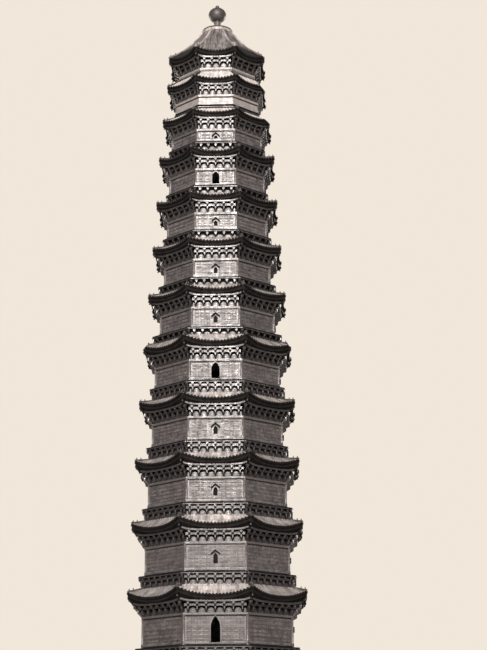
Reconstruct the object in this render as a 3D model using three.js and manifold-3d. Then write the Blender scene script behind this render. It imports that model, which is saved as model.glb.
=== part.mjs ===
// An eight-sided brick pagoda of thirteen storeys, as a model at one tenth of its real size.
// Millimetres, +Z up, the front face towards -Y, the origin under the middle of the tower.
// Each storey is a hollow wall, an eave of bracket sets under a tile skirt, and a balcony above.
import * as THREE from 'three';
import { mergeVertices } from 'three/addons/utils/BufferGeometryUtils.js';
import Module from 'manifold-3d';

const wasm = await Module();
wasm.setup();

// Every width below is half the distance between two opposite flat sides of the octagon.
// deck: top of the floor. head: top of the plain wall. wall: wall face. eave: corner tips.
// rise: how far the eave's corners turn up. bays: whole bracket bays on one side.
// belt: height of the brackets under the balcony. ledge: edge of the balcony.
const STOREYS = [
  { deck: 25, head: 600, wall: 506, eave: 606, rise: 50, bays: 6, ledge: 524, belt: 0 },
  { deck: 887, head: 1075, wall: 492, eave: 588, rise: 48, bays: 6, ledge: 538, belt: 66 },
  { deck: 1354, head: 1530, wall: 476, eave: 568, rise: 45, bays: 6, ledge: 521, belt: 66 },
  { deck: 1801, head: 1956, wall: 460, eave: 550, rise: 42, bays: 6, ledge: 504, belt: 66 },
  { deck: 2216, head: 2364, wall: 438, eave: 527, rise: 36, bays: 6, ledge: 481, belt: 66 },
  { deck: 2624, head: 2757, wall: 422, eave: 508, rise: 42, bays: 6, ledge: 462, belt: 66 },
  { deck: 2996, head: 3130, wall: 391, eave: 475, rise: 27, bays: 5, ledge: 446, belt: 36 },
  { deck: 3356, head: 3479, wall: 365, eave: 448, rise: 25, bays: 5, ledge: 409, belt: 36 },
  { deck: 3705, head: 3819, wall: 347, eave: 425, rise: 23, bays: 4, ledge: 382, belt: 36 },
  { deck: 4036, head: 4149, wall: 333, eave: 408, rise: 30, bays: 4, ledge: 362, belt: 36 },
  { deck: 4368, head: 4451, wall: 317, eave: 385, rise: 20, bays: 4, ledge: 344, belt: 36 },
  { deck: 4655, head: 4722, wall: 292, eave: 355, rise: 20, bays: 4, ledge: 305, belt: 12 },
  { deck: 4930, head: 4939, wall: 268, eave: 346, rise: 30, bays: 3, ledge: 272, belt: 0 },
];

// Which side each storey's open window faces: 0 front, 2 right, 4 back, 6 left.
const WINDOW_SIDE = { 2: 0, 3: 6, 4: 2, 5: 4, 6: 0, 7: 6, 8: 2, 9: 4, 10: 0, 11: 6, 12: 2 };
const DOOR_SIDES = [0, 2, 4, 6];
const BLIND_STOREYS = [2, 3, 4, 5, 6, 7, 8, 9, 10, 11];

const SIDE_COUNT = 8;
const ROOM_SHARE = 0.5;
const MOULDING = { height: 17, reach: 6, slope: 3 };
const BRACKET_HEIGHT = 66;
const BRACKET_REACH_SHARE = 0.72;
const ARM = { width: 16, root: 2, foot: 1, setback: 3, tenon: 3 };
const END_BAY_SHARE = 0.55;
const PANEL_REACH = 3;
const PURLIN_HEIGHT = 12;
const EAVE_BOARD_HEIGHT = 36;
const EAVE_MIDDLE_SETBACK = 20;
const EAVE_UNDERCUT = 6;
const EAVE_LEAN = 4;
const EAVE_SEGMENTS = 4;
const LEDGE_HEIGHT = 16;
const LEDGE_OVERHANG = 28;
const FLOOR_THICKNESS = 12;
const WINDOW = { width: 28, widthShare: 0.067, sill: 18, headGap: 6, springingShare: 0.62 };
const DOORWAY = { width: 124, springing: 190, height: 282 };
const NICHE = { widthShare: 0.5, heightShare: 0.45, footShare: 0.29, depth: 10 };
const PLINTH_HEIGHT = 25;
const CUT_MARGIN = 10;
const ROUND_STEPS = 16;

// The roof above the top eave, as half width and height, from the eave up to the cap.
const ROOF_RISE = [[258, 5152], [212, 5196], [178, 5236], [150, 5272], [124, 5308]];
const ROOF_TOP = { half: 104, height: 5332 };
const CAP = [[104, 5332], [110, 5338], [112, 5346], [112, 5358], [109, 5366], [96, 5373], [70, 5381],
  [46, 5388]];
const NECK = { radius: 25, footRadius: 42, footHeight: 12 };
const BALL = { radius: 65, halfHeight: 57, centre: 5498, steps: 7 };
const KNOB = { radius: 16, shoulder: 13, shoulderDrop: 13, top: 5580 };

// Corners that have lost their tips. corner: the side before it and a half. drop: how far below
// the edge's own height the break meets the corner. The break climbs inwards by BREAK_SLOPE.
const BREAKS = [
  { number: 6, corner: 1.5, drop: 26 },
  { number: 6, corner: 6.5, drop: 34 },
  { number: 11, corner: 1.5, drop: 45 },
  { number: 12, corner: 1.5, drop: 62 },
  { number: 12, corner: 2.5, drop: 40 },
];
const BREAK_SLOPE = 1.6;
const BREAK_SIZE = 300;

const TAN = Math.tan(Math.PI / SIDE_COUNT);
const COS = Math.cos(Math.PI / SIDE_COUNT);

const FINISHES = {
  wall: new THREE.MeshStandardMaterial({ color: 0x8b7f74, roughness: 0.55, metalness: 0 }),
  eave: new THREE.MeshStandardMaterial({ color: 0x6a5e54, roughness: 0.5, metalness: 0 }),
  balcony: new THREE.MeshStandardMaterial({ color: 0x786c61, roughness: 0.55, metalness: 0 }),
  cap: new THREE.MeshStandardMaterial({ color: 0x8d857a, roughness: 0.5, metalness: 0.2 }),
  finial: new THREE.MeshStandardMaterial({ color: 0x5a5048, roughness: 0.4, metalness: 0.6 }),
};

// The outward, level direction of one side, and the direction along it.
function sideAxes(side) {
  const turn = -Math.PI / 2 + (side * 2 * Math.PI) / SIDE_COUNT;
  const out = new THREE.Vector3(Math.cos(turn), Math.sin(turn), 0);
  const along = new THREE.Vector3(-Math.sin(turn), Math.cos(turn), 0);
  return { out, along };
}

// One octagon of points, with each side cut in equal steps. half and height may follow the
// place along the side, from -1 at one corner to 1 at the next.
function octagon(half, height, steps = 1) {
  const points = [];
  for (let side = 0; side < SIDE_COUNT; side += 1) {
    const { out, along } = sideAxes(side);
    for (let step = 0; step < steps; step += 1) {
      const place = -1 + (2 * step) / steps;
      const reach = typeof half === 'function' ? half(place) : half;
      const z = typeof height === 'function' ? height(place) : height;
      const point = out.clone().multiplyScalar(reach).addScaledVector(along, place * reach * TAN);
      points.push([point.x, point.y, z]);
    }
  }
  return { points, steps };
}

// Joins one octagon of points to the next with triangles, side by side.
function joinLoops(lower, upper, lowerStart, upperStart, triangles) {
  for (let side = 0; side < SIDE_COUNT; side += 1) {
    let a = 0;
    let b = 0;
    while (a < lower.steps || b < upper.steps) {
      const lowerAt = (n) => lowerStart + ((side * lower.steps + n) % lower.points.length);
      const upperAt = (n) => upperStart + ((side * upper.steps + n) % upper.points.length);
      const stepLower = b === upper.steps || (a < lower.steps && a / lower.steps <= b / upper.steps);
      if (stepLower) {
        triangles.push(lowerAt(a), lowerAt(a + 1), upperAt(b));
        a += 1;
      } else {
        triangles.push(lowerAt(a), upperAt(b + 1), upperAt(b));
        b += 1;
      }
    }
  }
}

// Skins a stack of octagons. A closed stack joins its last octagon to its first, as a ring
// round the tower does, and an open stack is closed by a flat face at each end.
function skin(loops, closed) {
  const positions = [];
  const starts = [];
  for (const loop of loops) {
    starts.push(positions.length / 3);
    for (const point of loop.points) positions.push(...point);
  }
  const triangles = [];
  for (let i = 0; i + 1 < loops.length; i += 1) {
    joinLoops(loops[i], loops[i + 1], starts[i], starts[i + 1], triangles);
  }
  const last = loops.length - 1;
  if (closed) {
    joinLoops(loops[last], loops[0], starts[last], starts[0], triangles);
  } else {
    for (let n = 1; n + 1 < loops[0].points.length; n += 1) {
      triangles.push(starts[0], starts[0] + n + 1, starts[0] + n);
    }
    for (let n = 1; n + 1 < loops[last].points.length; n += 1) {
      triangles.push(starts[last], starts[last] + n, starts[last] + n + 1);
    }
  }
  const geometry = new THREE.BufferGeometry();
  geometry.setAttribute('position', new THREE.Float32BufferAttribute(positions, 3));
  geometry.setIndex(triangles);
  return geometry;
}

// Keeps only the places of the corners, merged, without collapsed triangles.
function cornersOnly(source) {
  const plain = source.clone();
  plain.deleteAttribute('normal');
  plain.deleteAttribute('uv');
  const merged = mergeVertices(plain, 1e-3);
  const index = merged.index.array;
  const kept = [];
  for (let i = 0; i < index.length; i += 3) {
    const [a, b, c] = [index[i], index[i + 1], index[i + 2]];
    if (a !== b && b !== c && c !== a) kept.push(a, b, c);
  }
  merged.setIndex(kept);
  return merged;
}

function toSolid(source) {
  const merged = cornersOnly(source);
  return new wasm.Manifold(new wasm.Mesh({
    numProp: 3,
    vertProperties: Float32Array.from(merged.attributes.position.array),
    triVerts: Uint32Array.from(merged.index.array),
  }));
}

function toGeometry(solid) {
  const mesh = solid.getMesh();
  const geometry = new THREE.BufferGeometry();
  geometry.setAttribute('position', new THREE.BufferAttribute(mesh.vertProperties, 3));
  geometry.setIndex(new THREE.BufferAttribute(mesh.triVerts, 1));
  return geometry;
}

// A pointed arch, standing on its foot: straight sides, then shoulders bent up to a point.
function archShape(width, springing, height) {
  const half = width / 2;
  const shoulder = springing + (height - springing) * 0.55;
  const shape = new THREE.Shape();
  shape.moveTo(-half, 0);
  shape.lineTo(half, 0);
  shape.lineTo(half, springing);
  shape.quadraticCurveTo(half * 0.95, shoulder, 0, height);
  shape.quadraticCurveTo(-half * 0.95, shoulder, -half, springing);
  shape.closePath();
  return shape;
}

// The solid that cuts an arch through one side, from one half width out to another.
function archCutter(side, shape, foot, from, to) {
  const { out, along } = sideAxes(side);
  const geometry = new THREE.ExtrudeGeometry(shape, {
    depth: to - from, bevelEnabled: false, curveSegments: 3,
  });
  const up = new THREE.Vector3(0, 0, 1);
  const place = new THREE.Matrix4().makeBasis(along, up, out);
  place.setPosition(out.clone().multiplyScalar(from).add(new THREE.Vector3(0, 0, foot)));
  geometry.applyMatrix4(place);
  return toSolid(geometry);
}

function roomHalf(storey) {
  return Math.round(storey.wall * ROOM_SHARE);
}

function eaveMiddle(storey) {
  return storey.eave - EAVE_MIDDLE_SETBACK;
}

function bracketReach(storey) {
  return BRACKET_REACH_SHARE * (eaveMiddle(storey) - storey.wall);
}

// The skirt of one storey ends where the next storey's balcony begins.
function skirtTop(next) {
  return next.deck - (next.belt > 0 ? LEDGE_HEIGHT : FLOOR_THICKNESS) - next.belt;
}

function skirtHalf(next) {
  return next.belt > BRACKET_HEIGHT / 3 ? next.ledge - LEDGE_OVERHANG : next.ledge;
}

// The wall of one storey, with the moulding along its top, standing on z = 0.
function wallSolid(storey, foot) {
  const room = roomHalf(storey);
  const head = storey.head - foot;
  const top = head + MOULDING.height;
  const band = storey.wall + MOULDING.reach;
  return toSolid(skin([
    octagon(room, 0),
    octagon(storey.wall, 0),
    octagon(storey.wall, head),
    octagon(band, head + MOULDING.slope),
    octagon(band, top),
    octagon(room, top),
  ], true));
}

function windowSize(storey) {
  const height = storey.head - storey.deck - WINDOW.sill - WINDOW.headGap;
  const width = WINDOW.width + WINDOW.widthShare * storey.wall;
  return { width, springing: height * WINDOW.springingShare, height };
}

// A storey's open window goes through the wall, and its blind ones are shallow niches.
function cutWindows(solid, storey, number) {
  const size = windowSize(storey);
  const open = archShape(size.width, size.springing, size.height);
  const nicheWidth = size.width * NICHE.widthShare;
  const nicheHeight = size.height * NICHE.heightShare;
  const nicheFoot = (storey.head - storey.deck) * NICHE.footShare;
  const niche = archShape(nicheWidth, nicheHeight * WINDOW.springingShare, nicheHeight);
  const outside = storey.wall + CUT_MARGIN;
  let result = solid;
  for (const side of DOOR_SIDES) {
    if (side === WINDOW_SIDE[number]) {
      const from = roomHalf(storey) - CUT_MARGIN;
      result = result.subtract(archCutter(side, open, WINDOW.sill, from, outside));
    } else if (BLIND_STOREYS.includes(number)) {
      const from = storey.wall - NICHE.depth;
      result = result.subtract(archCutter(side, niche, nicheFoot, from, outside));
    }
  }
  return result;
}

// One bracket arm: it leans out from the foot of the belt to the underside of the purlin.
function bracketArm(storey, out, base, along, shift) {
  const tip = bracketReach(storey) - ARM.setback;
  const soffit = BRACKET_HEIGHT - PURLIN_HEIGHT;
  const shape = new THREE.Shape();
  shape.moveTo(-ARM.root, ARM.foot);
  shape.lineTo(tip, soffit);
  shape.lineTo(tip, soffit + ARM.tenon);
  shape.lineTo(-ARM.root, soffit + ARM.tenon);
  shape.closePath();
  const geometry = new THREE.ExtrudeGeometry(shape, { depth: ARM.width, bevelEnabled: false });
  geometry.translate(0, 0, -ARM.width / 2);
  const up = new THREE.Vector3(0, 0, 1);
  const place = new THREE.Matrix4().makeBasis(out, up, out.clone().cross(up));
  const origin = out.clone().multiplyScalar(base).addScaledVector(along, shift);
  place.setPosition(origin);
  geometry.applyMatrix4(place);
  return toSolid(geometry);
}

// The bracket arms of one storey: along each side, and one on the diagonal at each corner.
function bracketArms(storey) {
  const arms = [];
  const sideLength = 2 * (storey.wall + PANEL_REACH) * TAN;
  const bay = sideLength / (storey.bays + 2 * END_BAY_SHARE);
  for (let side = 0; side < SIDE_COUNT; side += 1) {
    const { out, along } = sideAxes(side);
    for (let set = 0; set <= storey.bays; set += 1) {
      const shift = (set - storey.bays / 2) * bay;
      arms.push(bracketArm(storey, out, storey.wall, along, shift));
    }
    const corner = sideAxes(side + 0.5);
    arms.push(bracketArm(storey, corner.out, storey.wall / COS, corner.along, 0));
  }
  return arms;
}

// The eave of one storey: a recessed belt, the purlin on the bracket arms, the board and tile
// ends along a sagging edge with turned-up corners, and the tile skirt above.
function eaveLoops(storey) {
  const room = roomHalf(storey);
  const reach = bracketReach(storey);
  const panel = storey.wall + PANEL_REACH;
  const purlin = storey.wall + reach;
  const soffit = BRACKET_HEIGHT - PURLIN_HEIGHT;
  const middle = eaveMiddle(storey);
  const bend = (place) => place ** 2;
  const edgeHalf = (place) => middle + EAVE_MIDDLE_SETBACK * bend(place);
  const boardHalf = (place) => edgeHalf(place) - EAVE_LEAN;
  const edgeFoot = (place) => BRACKET_HEIGHT + EAVE_UNDERCUT + storey.rise * bend(place);
  const edgeTop = (place) => edgeFoot(place) + EAVE_BOARD_HEIGHT;
  return {
    edgeTop,
    edgeHalf,
    bend,
    loops: [
      octagon(room, 0),
      octagon(panel, 0),
      octagon(panel, soffit),
      octagon(purlin, soffit),
      octagon(purlin, BRACKET_HEIGHT),
      octagon(boardHalf, edgeFoot, EAVE_SEGMENTS),
      octagon(edgeHalf, edgeTop, EAVE_SEGMENTS),
    ],
  };
}

// The wedge that is missing from a broken corner of an eave.
function breakCutter(storey, corner, drop) {
  const { out, along } = sideAxes(corner);
  const up = new THREE.Vector3(0, 0, 1);
  const away = out.clone().multiplyScalar(BREAK_SLOPE).add(up).normalize();
  const edge = BRACKET_HEIGHT + EAVE_UNDERCUT + storey.rise + EAVE_BOARD_HEIGHT;
  const point = out.clone().multiplyScalar(storey.eave / COS).addScaledVector(up, edge - drop);
  const geometry = new THREE.BoxGeometry(BREAK_SIZE, BREAK_SIZE, BREAK_SIZE);
  const place = new THREE.Matrix4().makeBasis(along, away.clone().cross(along), away);
  place.setPosition(point.addScaledVector(away, BREAK_SIZE / 2));
  geometry.applyMatrix4(place);
  return toSolid(geometry);
}

function eaveSolid(storey, next, number) {
  const foot = storey.head + MOULDING.height;
  const { loops, edgeTop, edgeHalf, bend } = eaveLoops(storey);
  const top = skirtTop(next) - foot;
  const inner = skirtHalf(next);
  const halfway = (place) => (edgeHalf(place) + inner) / 2;
  const sag = (place) => (edgeTop(place) + top) / 2 - 6 + 4 * bend(place);
  loops.push(
    octagon(halfway, sag, EAVE_SEGMENTS),
    octagon(inner, top),
    octagon(roomHalf(storey), top),
  );
  let whole = wasm.Manifold.union([toSolid(skin(loops, true)), ...bracketArms(storey)]);
  for (const { corner, drop } of BREAKS.filter((entry) => entry.number === number)) {
    whole = whole.subtract(breakCutter(storey, corner, drop));
  }
  return whole;
}

// The top storey's eave carries the roof, a concave eight-sided spire up to the cap.
function roofSolid(storey) {
  const foot = storey.head + MOULDING.height;
  const { loops } = eaveLoops(storey);
  const room = roomHalf(storey);
  for (const [half, height] of ROOF_RISE) {
    const steps = half > ROOF_RISE[1][0] ? EAVE_SEGMENTS : 1;
    loops.push(octagon(half, height - foot, steps));
  }
  loops.push(octagon(ROOF_TOP.half, ROOF_TOP.height - foot));
  loops.shift();
  loops.unshift(octagon(room, BRACKET_HEIGHT), octagon(room, 0));
  return wasm.Manifold.union([toSolid(skin(loops, false)), ...bracketArms(storey)]);
}

// A balcony: a belt of brackets in steps, a ledge on it, and the floor across the room below.
function balconyGeometry(storey, below) {
  const room = roomHalf(below);
  const half = skirtHalf(storey);
  const full = storey.deck - skirtTop(storey);
  const ledgeFoot = full - LEDGE_HEIGHT;
  const floorFoot = full - FLOOR_THICKNESS;
  if (storey.belt === 0) {
    return skin([octagon(storey.ledge, 0), octagon(storey.ledge, full)], false);
  }
  const loops = [octagon(room, floorFoot), octagon(room, 0), octagon(half, 0)];
  const tiers = Math.round(storey.belt / (BRACKET_HEIGHT / 2));
  const stepOut = (storey.ledge - half) / (tiers + 1);
  for (let tier = 0; tier < tiers; tier += 1) {
    const foot = ledgeFoot * ((tier + 0.5) / tiers);
    const from = half + tier * stepOut;
    loops.push(octagon(from, foot), octagon(from + stepOut, foot + 6));
  }
  const before = half + tiers * stepOut;
  loops.push(
    octagon(before, ledgeFoot),
    octagon(storey.ledge, ledgeFoot),
    octagon(storey.ledge, full),
  );
  return skin(loops, false);
}

function piece(name, geometry, finish, height) {
  const mesh = new THREE.Mesh(geometry, FINISHES[finish].clone());
  mesh.name = name;
  mesh.position.z = height;
  return mesh;
}

function plinth() {
  const half = STOREYS[0].ledge;
  return skin([octagon(half, 0), octagon(half, PLINTH_HEIGHT)], false);
}

// The first storey's wall, in four piers between the doorways and a ring over them.
function groundWall() {
  const storey = STOREYS[0];
  const room = roomHalf(storey);
  const split = DOORWAY.springing;
  const low = toSolid(skin([
    octagon(room, 0), octagon(storey.wall, 0), octagon(storey.wall, split), octagon(room, split),
  ], true));
  const arch = archShape(DOORWAY.width, DOORWAY.springing, DOORWAY.height);
  let cut = low;
  let high = wallSolid(storey, storey.deck + split);
  for (const side of DOOR_SIDES) {
    const [from, to] = [room - CUT_MARGIN, storey.wall + CUT_MARGIN];
    cut = cut.subtract(archCutter(side, arch, 0, from, to));
    high = high.subtract(archCutter(side, arch, -split, from, to));
  }
  const names = new Map([['1,1', 'back_right'], ['-1,1', 'back_left'],
    ['1,-1', 'front_right'], ['-1,-1', 'front_left']]);
  const pieces = cut.decompose().map((pier) => {
    const { min, max } = pier.boundingBox();
    const key = `${Math.sign(min[0] + max[0])},${Math.sign(min[1] + max[1])}`;
    return piece(`storey_1_pier_${names.get(key)}`, toGeometry(pier), 'wall', storey.deck);
  });
  pieces.push(piece('storey_1_wall_head', toGeometry(high), 'wall', storey.deck + split));
  return pieces;
}

function capGeometry() {
  const profile = CAP.map(([radius, height]) => new THREE.Vector2(radius, height - ROOF_TOP.height));
  profile.unshift(new THREE.Vector2(0, 0));
  profile.push(new THREE.Vector2(0, profile[profile.length - 1].y));
  const geometry = new THREE.LatheGeometry(profile, ROUND_STEPS);
  geometry.rotateX(Math.PI / 2);
  return cornersOnly(geometry);
}

// The finial: a neck with a spread foot, a ball a little wider than high, and a low knob on it.
function finialGeometry(foot) {
  const profile = [[0, foot], [NECK.footRadius, foot], [NECK.radius, foot + NECK.footHeight]];
  const start = -Math.acos(NECK.radius / BALL.radius);
  const end = Math.acos(KNOB.radius / BALL.radius);
  for (let step = 0; step <= BALL.steps; step += 1) {
    const turn = start + ((end - start) * step) / BALL.steps;
    profile.push([BALL.radius * Math.cos(turn), BALL.centre + BALL.halfHeight * Math.sin(turn)]);
  }
  profile.push([KNOB.shoulder, KNOB.top - KNOB.shoulderDrop], [0, KNOB.top]);
  const points = profile.map(([radius, height]) => new THREE.Vector2(radius, height - foot));
  const geometry = new THREE.LatheGeometry(points, ROUND_STEPS);
  geometry.rotateX(Math.PI / 2);
  return cornersOnly(geometry);
}

const pagoda = new THREE.Group();
pagoda.add(piece('base_plinth', plinth(), 'balcony', 0));
pagoda.add(...groundWall());
STOREYS.forEach((storey, index) => {
  const number = index + 1;
  const next = STOREYS[index + 1];
  const eaveFoot = storey.head + MOULDING.height;
  if (number > 1) {
    const below = STOREYS[index - 1];
    const balcony = balconyGeometry(storey, below);
    pagoda.add(piece(`storey_${number}_balcony`, balcony, 'balcony', skirtTop(storey)));
    const wall = cutWindows(wallSolid(storey, storey.deck), storey, number);
    pagoda.add(piece(`storey_${number}_wall`, toGeometry(wall), 'wall', storey.deck));
  }
  if (next) {
    const eave = toGeometry(eaveSolid(storey, next, number));
    pagoda.add(piece(`storey_${number}_eave`, eave, 'eave', eaveFoot));
  } else {
    pagoda.add(piece('top_roof', toGeometry(roofSolid(storey)), 'eave', eaveFoot));
  }
});
pagoda.add(piece('roof_cap', capGeometry(), 'cap', ROOF_TOP.height));
const capTop = CAP[CAP.length - 1][1];
pagoda.add(piece('finial_ball', finialGeometry(capTop), 'finial', capTop));

export default pagoda;
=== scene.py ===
import math

import bpy
import numpy as np
from mathutils import Matrix


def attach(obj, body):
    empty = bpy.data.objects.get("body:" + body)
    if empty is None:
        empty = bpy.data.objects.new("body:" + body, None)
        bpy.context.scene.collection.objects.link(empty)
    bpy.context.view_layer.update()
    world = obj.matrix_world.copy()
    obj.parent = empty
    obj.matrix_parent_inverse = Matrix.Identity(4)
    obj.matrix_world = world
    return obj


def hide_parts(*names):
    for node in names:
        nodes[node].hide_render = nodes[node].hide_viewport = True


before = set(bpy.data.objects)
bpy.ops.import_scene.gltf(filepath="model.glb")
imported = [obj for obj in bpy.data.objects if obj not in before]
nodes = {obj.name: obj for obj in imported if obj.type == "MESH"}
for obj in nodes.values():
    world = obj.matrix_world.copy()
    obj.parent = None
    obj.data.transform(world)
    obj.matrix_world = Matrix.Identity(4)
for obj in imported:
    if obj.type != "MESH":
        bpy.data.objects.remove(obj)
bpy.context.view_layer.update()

# The base plinth
# One course of dressed stone slabs, eight-sided, laid flat on the ground under the first storey.
# The slabs are butted, and their top edge is worn.


def wired(tree, kind, inputs=None, **settings):
    """One shader node with its settings; an input given as a socket is linked, any other is set."""
    made = tree.nodes.new(kind)
    for key, value in settings.items():
        setattr(made, key, value)
    for key, value in (inputs or {}).items():
        if isinstance(value, bpy.types.NodeSocket):
            tree.links.new(value, made.inputs[key])
        else:
            made.inputs[key].default_value = value
    return made


def arithmetic(tree, operation, first, second=0.0):
    """The result of one sum, product or other operation on two numbers or sockets."""
    return wired(tree, "ShaderNodeMath", {0: first, 1: second}, operation=operation).outputs[0]


def around_the_tower(tree):
    """The place on the octagon as (along the side, height, out from the axis), the plain place and
    1 on the front side, 0 elsewhere. The side's number is the angle round the axis over 45 degrees,
    rounded, which is -2 at the front, and the place is turned back by it."""
    place = wired(tree, "ShaderNodeTexCoord").outputs["Object"]
    split = wired(tree, "ShaderNodeSeparateXYZ", {0: place})
    x, y, z = split.outputs
    angle = arithmetic(tree, "ARCTAN2", y, x)
    side = arithmetic(tree, "ROUND", arithmetic(tree, "DIVIDE", angle, math.pi / 4))
    turn = arithmetic(tree, "MULTIPLY", side, math.pi / 4)
    cosine = arithmetic(tree, "COSINE", turn)
    sine = arithmetic(tree, "SINE", turn)
    along = arithmetic(tree, "SUBTRACT", arithmetic(tree, "MULTIPLY", y, cosine),
                       arithmetic(tree, "MULTIPLY", x, sine))
    out = arithmetic(tree, "ADD", arithmetic(tree, "MULTIPLY", x, cosine),
                     arithmetic(tree, "MULTIPLY", y, sine))
    sided = wired(tree, "ShaderNodeCombineXYZ", {0: along, 1: z, 2: out}).outputs[0]
    front = wired(tree, "ShaderNodeMath", {0: side, 1: -2.0, 2: 0.1}, operation="COMPARE").outputs[0]
    return sided, place, front


def blended(tree, share, first, second):
    """Two colours mixed by a share from 0 to 1."""
    made = wired(tree, "ShaderNodeMix", {0: share, 6: first, 7: second}, data_type="RGBA")
    return made.outputs[2]


def between(tree, value, low, high, to_low=0.0, to_high=1.0):
    """A value stretched from one range to another, and held at its ends."""
    made = wired(tree, "ShaderNodeMapRange", {0: value, 1: low, 2: high, 3: to_low, 4: to_high})
    return made.outputs[0]


def masonry(name, pale, deep, brick, course, joint, gloss, soot=0.6, glaze=1.6, front_lit=0.0,
            black_to=0.0):
    """Masonry in courses on each side: bricks of brick by course metres with joints between them,
    each brick's tone its own, rain streaks and soot in soft noise, painted shade that darkens the
    hollows and crevices towards the soot colour, and a glaze about as rough as gloss, duller where
    the brick is dark.
    bleached is how much of the pale tone only the front side has, painted light on the lit front
    side, and black_to is the height in metres below which the other sides turn black as painted
    shade."""
    made = bpy.data.materials.new(name)
    made.use_nodes = True
    tree = made.node_tree
    shader = tree.nodes["Principled BSDF"]
    place, plain, front = around_the_tower(tree)
    bricks = wired(tree, "ShaderNodeTexBrick", {
        "Vector": place, "Color1": (1, 1, 1, 1), "Color2": (0.35, 0.35, 0.35, 1),
        "Mortar": (0, 0, 0, 1), "Scale": 1.0, "Mortar Size": joint, "Mortar Smooth": 0.3,
        "Bias": 0.0, "Brick Width": brick, "Row Height": course}, offset=0.5)
    tone = wired(tree, "ShaderNodeTexNoise", {"Vector": plain, "Scale": 26.0, "Detail": 5.0,
                                              "Roughness": 0.6}).outputs[0]
    grain = wired(tree, "ShaderNodeTexNoise", {"Vector": plain, "Scale": 260.0, "Detail": 3.0,
                                               "Roughness": 0.65}).outputs[0]
    stretch = wired(tree, "ShaderNodeMapping", {0: place, 3: (60.0, 5.0, 10.0)}).outputs[0]
    streak = wired(tree, "ShaderNodeTexNoise", {"Vector": stretch, "Scale": 1.0, "Detail": 4.0,
                                                "Roughness": 0.55}).outputs[0]
    own = wired(tree, "ShaderNodeSeparateXYZ", {0: bricks.outputs["Color"]}).outputs[0]
    share = arithmetic(tree, "MULTIPLY", own, between(tree, tone, 0.3, 0.7, 0.55, 1.15))
    duller = between(tree, share, 0.0, 1.0, 0.2, -0.12)
    # Painted light: the front side keeps its full pale tone and the other sides lose the given share
    # of it.
    share = arithmetic(tree, "MULTIPLY", share, between(tree, front, 0, 1, 1 - front_lit, 1.0))
    # Painted shade: below the given height every side but the front turns black.
    height = wired(tree, "ShaderNodeSeparateXYZ", {0: plain}).outputs[2]
    clear = between(tree, height, black_to - 0.08, black_to, 0.08, 1.0)
    share = arithmetic(tree, "MULTIPLY", share, arithmetic(tree, "MAXIMUM", clear, front))
    fired = blended(tree, share, deep, pale)
    soot_and_shade = tuple(0.3 * part for part in deep[:3]) + (1,)
    dirty = blended(tree, between(tree, streak, 0.45, 0.72, 0.0, soot), fired, soot_and_shade)
    # Painted shade: hollows and crevices that the occlusion finds are darkened towards the soot
    # colour.
    hollow = wired(tree, "ShaderNodeAmbientOcclusion", {"Distance": 0.035}, samples=6)
    kept = between(tree, hollow.outputs["AO"], 0.25, 0.8, 0.92, 0.0)
    tree.links.new(blended(tree, kept, dirty, soot_and_shade), shader.inputs["Base Color"])
    rough = between(tree, arithmetic(tree, "ADD", tone, streak), 0.7, 1.3, gloss - 0.08, gloss + 0.2)
    tree.links.new(arithmetic(tree, "ADD", rough, duller), shader.inputs["Roughness"])
    depth = arithmetic(tree, "ADD", arithmetic(tree, "MULTIPLY", bricks.outputs["Fac"], -1.0),
                       arithmetic(tree, "MULTIPLY", grain, 0.5))
    bump = wired(tree, "ShaderNodeBump", {"Strength": 0.6, "Distance": 0.0012,
                                          "Height": depth}).outputs[0]
    shader.inputs["IOR"].default_value = glaze
    tree.links.new(bump, shader.inputs["Normal"])
    return made


def refinish(material, *names):
    """Gives solids of the tower a finish in place of their plain one."""
    for name in names:
        slots = nodes[name].data.materials
        slots.clear()
        slots.append(material)


dressed_stone = masonry("dressed_stone", (0.26, 0.235, 0.215, 1), (0.12, 0.108, 0.10, 1),
                        0.115, 0.03, 0.0012, 0.75, soot=0.5)
refinish(dressed_stone, "base_plinth")

# The walls
# Thirteen storeys of glazed brick, each set back a little from the one below. Up to the eleventh,
# framed relief plates in courses face them between round corner columns. Over each ledge a low
# moulded course runs round the wall's foot, and under its head runs a thin ring of near-black tile,
# a painted shadow line.

# deck, wall head, wall face, eave tip, rise of the eave's corners, bracket bays on a side, ledge
# and height of the bracket belt under it, in millimetres, storey by storey
storeys = np.array([
    [25, 600, 506, 606, 50, 6, 524, 0],
    [887, 1075, 492, 588, 48, 6, 538, 66],
    [1354, 1530, 476, 568, 45, 6, 521, 66],
    [1801, 1956, 460, 550, 42, 6, 504, 66],
    [2216, 2364, 438, 527, 36, 6, 481, 66],
    [2624, 2757, 422, 508, 42, 6, 462, 66],
    [2996, 3130, 391, 475, 27, 5, 446, 36],
    [3356, 3479, 365, 448, 25, 5, 409, 36],
    [3705, 3819, 347, 425, 23, 4, 382, 36],
    [4036, 4149, 333, 408, 30, 4, 362, 36],
    [4368, 4451, 317, 385, 20, 4, 344, 36],
    [4655, 4722, 292, 355, 20, 4, 305, 12],
    [4930, 4939, 268, 346, 30, 3, 272, 0]], float)
deck, head, wall, eave, rise, bays, ledge, belt = storeys.T
tangent, cosine = math.tan(math.pi / 8), math.cos(math.pi / 8)
# the side that each storey's one open window faces: 0 is front, 2 right, 4 back and 6 left
window_side = {2: 0, 3: 6, 4: 2, 5: 4, 6: 0, 7: 6, 8: 2, 9: 4, 10: 0, 11: 6, 12: 2}
blind_storeys = range(2, 12)
plain_storeys = (12, 13)
doorway_half, doorway_springing, doorway_height = 62, 190, 282
foot_course = 28.0

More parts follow.
